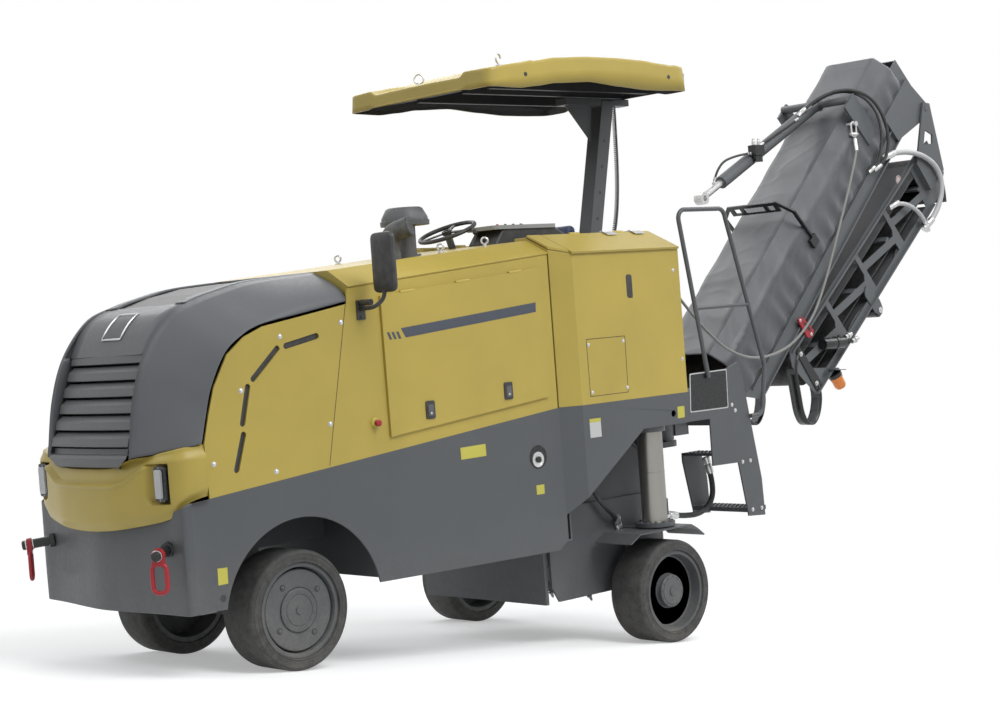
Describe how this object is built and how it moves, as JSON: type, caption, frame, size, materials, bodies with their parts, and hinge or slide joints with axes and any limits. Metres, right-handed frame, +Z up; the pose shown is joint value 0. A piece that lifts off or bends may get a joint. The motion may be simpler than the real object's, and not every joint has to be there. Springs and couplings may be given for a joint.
{
  "type": "cold planer milling machine",
  "caption": "Compact wheeled cold planer with a picked milling drum, lifting rear legs, a folding discharge conveyor and a canopied operator stand.",
  "frame": {"origin": "on the ground under the middle of the bounding box", "axes": "+X forward towards the grille, +Y left, +Z up"},
  "size_m": [7.632, 2.353, 4.3413],
  "materials": {
    "yellow": "gloss",
    "grey": "satin",
    "dark": "satin",
    "frame": "satin",
    "tyre": "matte",
    "steel": "satin",
    "cast": "matte",
    "belt": "matte",
    "tarp": "matte",
    "seat": "matte",
    "plastic": "matte",
    "lamp": "gloss"
  },
  "bodies": {
    "chassis": {"main_frame": "frame", "front_bumper": "yellow", "headlight_left": "lamp", "headlight_right": "lamp", "front_grille": "dark", "hood": "grey", "hood_mesh": "dark", "side_panel_left": "yellow", "side_panel_right": "yellow", "top_deck": "yellow", "engine_block": "cast", "rear_cabinet_left": "yellow", "rear_cabinet_right": "yellow", "operator_platform": "dark", "console": "plastic", "seat": "seat", "air_cleaner": "plastic", "exhaust_pipe": "dark", "mirror_left": "plastic", "canopy_roof": "yellow", "canopy_post": "grey", "drum_housing": "frame", "steps_left": "frame", "steps_right": "frame", "handrail_left": "dark", "handrail_right": "dark", "front_axle": "cast"},
    "steer_left": {"knuckle_left": "cast"},
    "front_wheel_left": {"tyre_front_left": "tyre", "rim_front_left": "frame"},
    "rear_wheel_left": {"tyre_rear_left": "tyre", "rim_rear_left": "frame"},
    "rear_leg_left": {"leg_left": "grey"},
    "door_left": {"side_door_left": "yellow"},
    "lid_left": {"cabinet_lid_left": "yellow"},
    "side_plate_left": {"edge_plate_left": "frame"},
    "steer_right": {"knuckle_right": "cast"},
    "front_wheel_right": {"tyre_front_right": "tyre", "rim_front_right": "frame"},
    "rear_wheel_right": {"tyre_rear_right": "tyre", "rim_rear_right": "frame"},
    "rear_leg_right": {"leg_right": "grey"},
    "door_right": {"side_door_right": "yellow"},
    "lid_right": {"cabinet_lid_right": "yellow"},
    "side_plate_right": {"edge_plate_right": "frame"},
    "swing_arm": {"swing_arm_right": "grey"},
    "drum": {"milling_drum": "cast"},
    "scraper_blade": {"scraper": "steel"},
    "wheel_helm": {"steering_wheel": "plastic"},
    "slew": {"slew_bracket": "grey"},
    "conveyor": {"conveyor_frame": "grey", "conveyor_cover": "tarp", "conveyor_belt": "belt"},
    "tail": {"tail_frame": "grey", "tail_belt": "belt"},
    "stay": {"stay_barrel": "grey"},
    "stay_ram": {"stay_rod": "steel"}
  },
  "joints": [
    {"name": "front_left_steer", "type": "hinge", "parent": "chassis", "child": "steer_left", "pos_m": [2.84943, 0.5415, 0.33], "axis": [0, 0, 1], "range_deg": [-28, 28]},
    {"name": "front_left_wheel_spin", "type": "hinge", "parent": "steer_left", "child": "front_wheel_left", "pos_m": [2.84943, 0.7295, 0.33], "axis": [0, 1, 0], "continuous": true},
    {"name": "front_right_steer", "type": "hinge", "parent": "chassis", "child": "steer_right", "pos_m": [2.84943, -0.1785, 0.33], "axis": [0, 0, 1], "range_deg": [-28, 28]},
    {"name": "front_right_wheel_spin", "type": "hinge", "parent": "steer_right", "child": "front_wheel_right", "pos_m": [2.84943, -0.3665, 0.33], "axis": [0, 1, 0], "continuous": true},
    {"name": "left_leg_lift", "type": "slide", "parent": "chassis", "child": "rear_leg_left", "axis": [0.1179, 0, 0.993], "range_m": [-0.02, 0.34]},
    {"name": "right_arm_swing", "type": "hinge", "parent": "chassis", "child": "swing_arm", "pos_m": [0.64444, -0.6885, 1.26642], "axis": [0.1179, 0, 0.993], "range_deg": [0, 179]},
    {"name": "right_leg_lift", "type": "slide", "parent": "swing_arm", "child": "rear_leg_right", "axis": [0.1179, 0, 0.993], "range_m": [-0.02, 0.34]},
    {"name": "rear_left_wheel_spin", "type": "hinge", "parent": "rear_leg_left", "child": "rear_wheel_left", "pos_m": [-0.04877, 0.8555, 0.33], "axis": [0, 1, 0], "continuous": true},
    {"name": "rear_right_wheel_spin", "type": "hinge", "parent": "rear_leg_right", "child": "rear_wheel_right", "pos_m": [-0.04877, -1.0185, 0.33], "axis": [0, 1, 0], "continuous": true},
    {"name": "drum_spin", "type": "hinge", "parent": "chassis", "child": "drum", "pos_m": [0.22026, 0.0995, 0.66221], "axis": [0, 1, 0], "continuous": true},
    {"name": "left_side_plate_lift", "type": "slide", "parent": "chassis", "child": "side_plate_left", "axis": [0.1179, 0, 0.993], "range_m": [0, 0.2]},
    {"name": "right_side_plate_lift", "type": "slide", "parent": "chassis", "child": "side_plate_right", "axis": [0.1179, 0, 0.993], "range_m": [0, 0.2]},
    {"name": "scraper_swing", "type": "hinge", "parent": "chassis", "child": "scraper_blade", "pos_m": [-0.2975, 0.0815, 1.02577], "axis": [0, 1, 0], "range_deg": [0, 30]},
    {"name": "left_door_open", "type": "hinge", "parent": "chassis", "child": "door_left", "pos_m": [1.76457, 0.9205, 2.20242], "axis": [0.9791, 0, -0.2031], "range_deg": [0, 80]},
    {"name": "left_lid_open", "type": "hinge", "parent": "chassis", "child": "lid_left", "pos_m": [0.46286, 0.7275, 2.62127], "axis": [0.993, 0, -0.1179], "range_deg": [0, 80]},
    {"name": "right_door_open", "type": "hinge", "parent": "chassis", "child": "door_right", "pos_m": [1.76457, -0.5575, 2.20242], "axis": [-0.9791, 0, 0.2031], "range_deg": [0, 80]},
    {"name": "right_lid_open", "type": "hinge", "parent": "chassis", "child": "lid_right", "pos_m": [0.46286, -0.3645, 2.62127], "axis": [-0.993, 0, 0.1179], "range_deg": [0, 80]},
    {"name": "steering_wheel_turn", "type": "hinge", "parent": "chassis", "child": "wheel_helm", "pos_m": [1.11133, 0.0315, 2.62083], "axis": [0.4347, 0, 0.9006], "range_deg": [-540, 540]},
    {"name": "conveyor_slew", "type": "hinge", "parent": "chassis", "child": "slew", "pos_m": [-0.76154, 0.1815, 1.46855], "axis": [0.1179, 0, 0.993], "range_deg": [-40, 40]},
    {"name": "conveyor_luff", "type": "hinge", "parent": "slew", "child": "conveyor", "pos_m": [-1.07922, 0.1815, 1.59185], "axis": [0, 1, 0], "range_deg": [-18, 6]},
    {"name": "conveyor_fold", "type": "hinge", "parent": "conveyor", "child": "tail", "pos_m": [-3.4943, 0.1815, 3.99929], "axis": [0, 1, 0], "range_deg": [0, 185]},
    {"name": "stay_barrel_swing", "type": "hinge", "parent": "conveyor", "child": "stay", "pos_m": [-2.52529, 0.1815, 3.93362], "axis": [0, 1, 0], "range_deg": [-1.52, 3.57]},
    {"name": "stay_rod_extend", "type": "slide", "parent": "stay", "child": "stay_ram", "axis": [0.8373, 0, -0.5467], "range_m": [-0.15, 0.44]}
  ],
  "couplings": [
    {"joint": "front_right_steer", "follows": "front_left_steer", "ratio": 1},
    {"joint": "stay_barrel_swing", "follows": "conveyor_luff", "ratio": -0.1708},
    {"joint": "stay_rod_extend", "follows": "conveyor_luff", "m_per_rad": -1.3846}
  ]
}
